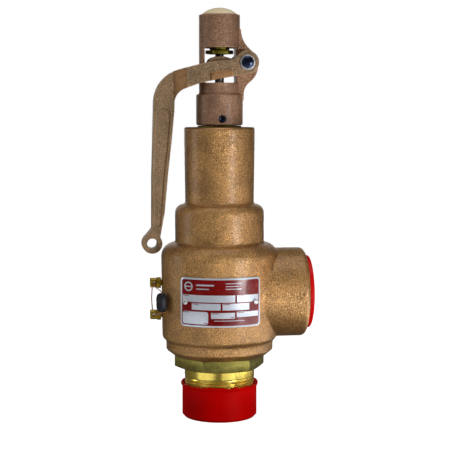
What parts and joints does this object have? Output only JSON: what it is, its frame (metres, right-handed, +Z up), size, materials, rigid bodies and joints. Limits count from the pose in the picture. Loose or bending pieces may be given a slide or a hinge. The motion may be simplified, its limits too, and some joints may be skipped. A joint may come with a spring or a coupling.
{
  "type": "pressure relief valve",
  "caption": "Cast bronze pressure relief valve with a side outlet, a wrench hex on its pipe inlet, a forked lift lever under a slotted cap, and thread protectors fitted.",
  "frame": {"origin": "centre of the flat underside of the inlet's protector cap, which the valve stands on", "axes": "+Z up the valve's axis from inlet to cap, +X out of the side outlet, -Y towards the nameplate"},
  "size_m": [0.1444, 0.101, 0.3497],
  "materials": {
    "body_bronze": "sand-cast bronze, fine bright grain, satin",
    "cap_bronze": "sand-cast bronze, coarser and duller grain",
    "lever_bronze": "sand-cast bronze, coarse grain, ground patches",
    "polished_brass": "machined and polished brass, dull on the wrench hex",
    "dull_brass": "machined brass, dulled",
    "screw_brass": "turned brass",
    "plated_nut": "yellow-green plated",
    "stainless_steel": "turned stainless steel",
    "plain_steel": "plain steel",
    "black_steel": "black oxide steel",
    "spring_steel": "oiled spring steel",
    "copper_wire": "thin twisted wire",
    "lead": "soft lead, dull blue-grey, crimped",
    "nameplate_metal": "printed red and silver plate",
    "red_cap_plastic": "deep red soft plastic",
    "red_plug_plastic": "bright red plastic"
  },
  "bodies": {
    "valve_body": {"body_casting": "body_bronze", "inlet_nozzle": "polished_brass", "lower_regulator_ring": "dull_brass", "upper_regulator_ring": "dull_brass", "disc_guide": "dull_brass", "spring": "spring_steel", "upper_spring_step": "stainless_steel", "top_plug": "dull_brass", "compression_screw": "dull_brass", "compression_locknut": "dull_brass", "cap": "cap_bronze", "cap_set_screw": "black_steel", "lever_pin": "black_steel", "lever_pin_washer_front": "plain_steel", "lever_pin_washer_back": "plain_steel", "lever_pin_nut": "plain_steel", "upper_ring_pin": "screw_brass", "lower_ring_pin": "screw_brass", "upper_ring_pin_locknut": "screw_brass", "lower_ring_pin_locknut": "screw_brass", "seal_wire": "copper_wire", "lead_seal": "lead", "nameplate": "nameplate_metal", "nameplate_screw_left": "plain_steel", "nameplate_screw_right": "plain_steel"},
    "lift_train": {"stem": "stainless_steel", "valve_disc": "stainless_steel", "lower_spring_step": "stainless_steel", "lift_nut": "plated_nut", "lift_jam_nut": "plated_nut"},
    "lever_arm": {"lever": "lever_bronze"},
    "inlet_cover": {"inlet_protector_cap": "red_cap_plastic"},
    "outlet_cover": {"outlet_protector_plug": "red_plug_plastic"}
  },
  "joints": [
    {"name": "lever_pivot", "type": "hinge", "parent": "valve_body", "child": "lever_arm", "pos_m": [0.0219, 0, 0.3036], "axis": [0, 1, 0], "range_deg": [0, 17]},
    {"name": "stem_lift", "type": "slide", "parent": "valve_body", "child": "lift_train", "axis": [0, 0, 1], "range_m": [0, 0.008], "deforming": ["spring"]},
    {"name": "inlet_cover_off", "type": "slide", "parent": "valve_body", "child": "inlet_cover", "axis": [0, 0, -1], "range_m": [0, 0.06]},
    {"name": "outlet_cover_off", "type": "slide", "parent": "valve_body", "child": "outlet_cover", "axis": [1, 0, 0], "range_m": [0, 0.04]}
  ],
  "couplings": [
    {"joint": "stem_lift", "follows": "lever_pivot", "m_per_rad": 0.0268}
  ]
}
